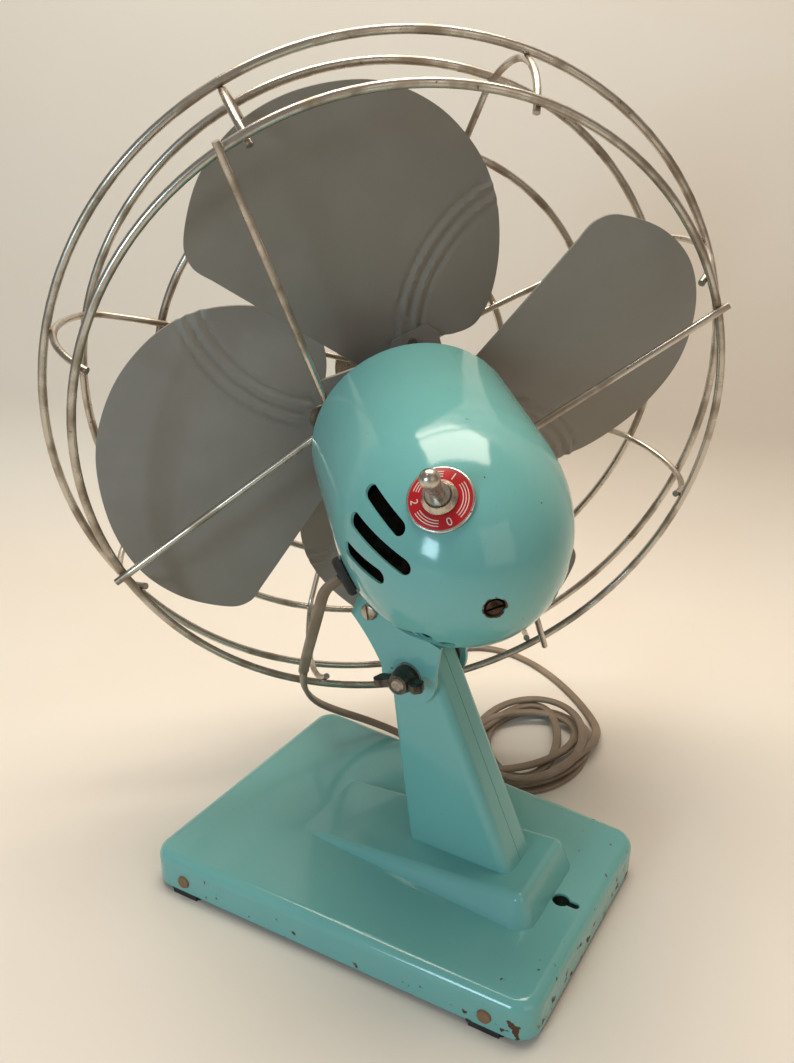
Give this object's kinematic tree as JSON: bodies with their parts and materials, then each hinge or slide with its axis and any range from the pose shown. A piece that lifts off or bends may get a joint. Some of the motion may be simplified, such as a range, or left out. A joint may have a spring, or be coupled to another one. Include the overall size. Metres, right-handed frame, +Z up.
{
  "type": "desk fan",
  "caption": "Desk fan with a pressed-steel stand, tilting and swivelling motor head, domed wire guard, broad blades, dial switch and a bundled cord.",
  "frame": {"origin": "bottom centre of the fan without its cord, on the surface it stands on", "axes": "+Z up, +Y towards the stand's rear, +X towards the fan's left"},
  "size_m": [0.3051, 0.2846, 0.3865],
  "materials": {
    "enamel": "turquoise stove enamel, aged",
    "black_rubber": "matte",
    "tan_rivet": "matte",
    "steel": "worn",
    "fibre": "pressed fibre",
    "dark_nut": "darkened steel",
    "bell_metal": "cast",
    "core_iron": "laminated",
    "winding_copper": "varnished copper",
    "bronze": "sintered",
    "dial_red": "red with a bright rim",
    "switch_case": "phenolic",
    "nickel_wire": "tarnished nickel",
    "blade_grey": "matte warm grey",
    "cord_taupe": "soft plastic",
    "plug_brown": "moulded",
    "plug_brass": "plain"
  },
  "bodies": {
    "stand": {"base_pan": "enamel", "rubber_feet": "black_rubber", "foot_rivets": "tan_rivet", "post_left": "enamel", "post_right": "enamel", "post_screws": "steel", "pivot_spacer": "steel", "cord_lead": "cord_taupe", "cord_hank": "cord_taupe", "cord_tail": "cord_taupe", "plug_body": "plug_brown", "plug_blades": "plug_brass"},
    "tilt_bracket": {"bracket_left": "enamel", "bracket_right": "enamel", "neck_block": "enamel", "ear_screws": "steel", "pivot_bolt": "steel", "friction_washers": "fibre", "bolt_washers": "steel"},
    "wing_nut": {"wing_nut": "dark_nut"},
    "motor_head": {"swivel_stud": "steel", "swivel_washer": "steel", "swivel_nut": "steel", "motor_front_bell": "bell_metal", "motor_rear_bell": "bell_metal", "stator_core": "core_iron", "stator_windings": "winding_copper", "front_bearing": "bronze", "rear_bearing": "bronze", "through_bolts": "steel", "housing_stay": "steel", "housing_shell": "enamel", "housing_screw": "steel", "cord_grommet": "black_rubber", "dial_plate": "dial_red", "switch_body": "switch_case", "switch_nut": "steel", "guard_ring_rear": "nickel_wire", "guard_ring_middle": "nickel_wire", "guard_ring_front": "nickel_wire", "guard_ring_inner": "nickel_wire", "guard_ring_centre": "nickel_wire", "guard_ribs": "nickel_wire", "guard_badge": "nickel_wire", "guard_arm_left": "nickel_wire", "guard_arm_right": "nickel_wire", "guard_screws": "steel"},
    "rotor": {"rotor_shaft": "steel", "rotor_core": "core_iron", "blade_spider": "blade_grey", "set_screw": "steel", "blade_1": "blade_grey", "blade_2": "blade_grey", "blade_3": "blade_grey", "blade_4": "blade_grey", "blade_rivets": "steel"},
    "switch": {"switch_lever": "steel"}
  },
  "joints": [
    {"name": "head_tilt", "type": "hinge", "parent": "stand", "child": "tilt_bracket", "pos_m": [0.0649, 0.05329, 0.123], "axis": [-1, 0, 0], "range_deg": [-12.5, 63.5], "deforming": ["cord_lead"]},
    {"name": "head_swivel", "type": "hinge", "parent": "tilt_bracket", "child": "motor_head", "pos_m": [0.0649, 0.06308, 0.19832], "axis": [0, 0.284, 0.9588], "range_deg": [-5, 95], "deforming": ["cord_lead"]},
    {"name": "blade_spin", "type": "hinge", "parent": "motor_head", "child": "rotor", "pos_m": [0.0649, 0.06308, 0.19832], "axis": [-0.7071, -0.678, 0.2008], "continuous": true},
    {"name": "wing_nut_turn", "type": "hinge", "parent": "tilt_bracket", "child": "wing_nut", "pos_m": [0.0649, 0.05329, 0.123], "axis": [1, 0, 0], "continuous": true},
    {"name": "switch_turn", "type": "hinge", "parent": "motor_head", "child": "switch", "pos_m": [0.11249, 0.08489, 0.22239], "axis": [0.7546, 0.1893, 0.6283], "continuous": true}
  ]
}
